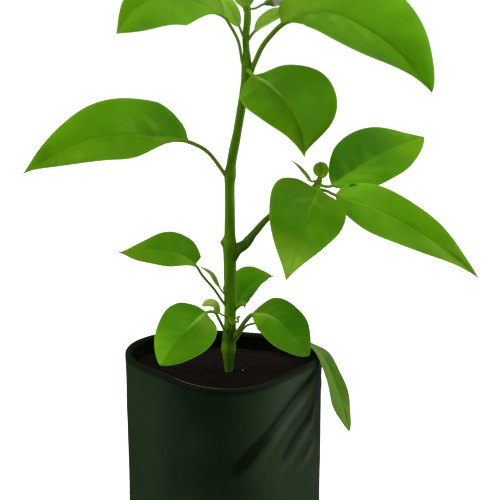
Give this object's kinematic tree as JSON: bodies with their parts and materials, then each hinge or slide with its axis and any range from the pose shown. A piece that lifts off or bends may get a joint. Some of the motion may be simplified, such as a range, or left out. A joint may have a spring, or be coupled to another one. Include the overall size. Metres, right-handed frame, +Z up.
{
  "type": "potted chili pepper plant",
  "caption": "Young chili pepper plant with broad pointed leaves on one stem and a side branch, standing in soil in a soft dark pot.",
  "frame": {"origin": "centre of the pot's base, on the surface that the pot stands on", "axes": "+Z up along the stem; the pot's blunt corner and the side seen first face -Y; the side branch grows towards +X"},
  "size_m": [0.2474, 0.1109, 0.3342],
  "materials": {
    "pot": "satin",
    "soil": "matte",
    "stem": "satin",
    "leaf": "satin",
    "young_leaf": "satin",
    "flower_bud": "matte"
  },
  "bodies": {
    "root": {"pot": "pot", "soil": "soil", "main_stem": "stem", "side_branch": "stem", "leaf_left_long": "leaf", "leaf_right_mid": "leaf", "leaf_top_left": "leaf", "leaf_top_right": "leaf", "branch_leaf_front": "leaf", "branch_leaf_long": "leaf", "branch_leaf_upper": "leaf", "leaf_low_left": "leaf", "leaf_low_round": "leaf", "leaf_low_behind": "leaf", "leaf_low_right": "leaf", "leaf_hanging": "leaf", "branch_leaf_thin": "young_leaf", "branch_leaf_curled": "young_leaf", "leaf_low_narrow": "young_leaf", "leaf_low_pale": "young_leaf", "sprout_front": "young_leaf", "sprout_right": "young_leaf", "sprout_curled": "young_leaf", "tip_leaf_left": "young_leaf", "tip_leaf_right": "young_leaf", "tip_leaf_front": "young_leaf", "tip_leaf_back_left": "young_leaf", "tip_leaf_back": "young_leaf", "tip_leaf_top": "young_leaf", "flower_bud": "flower_bud"}
  },
  "joints": []
}
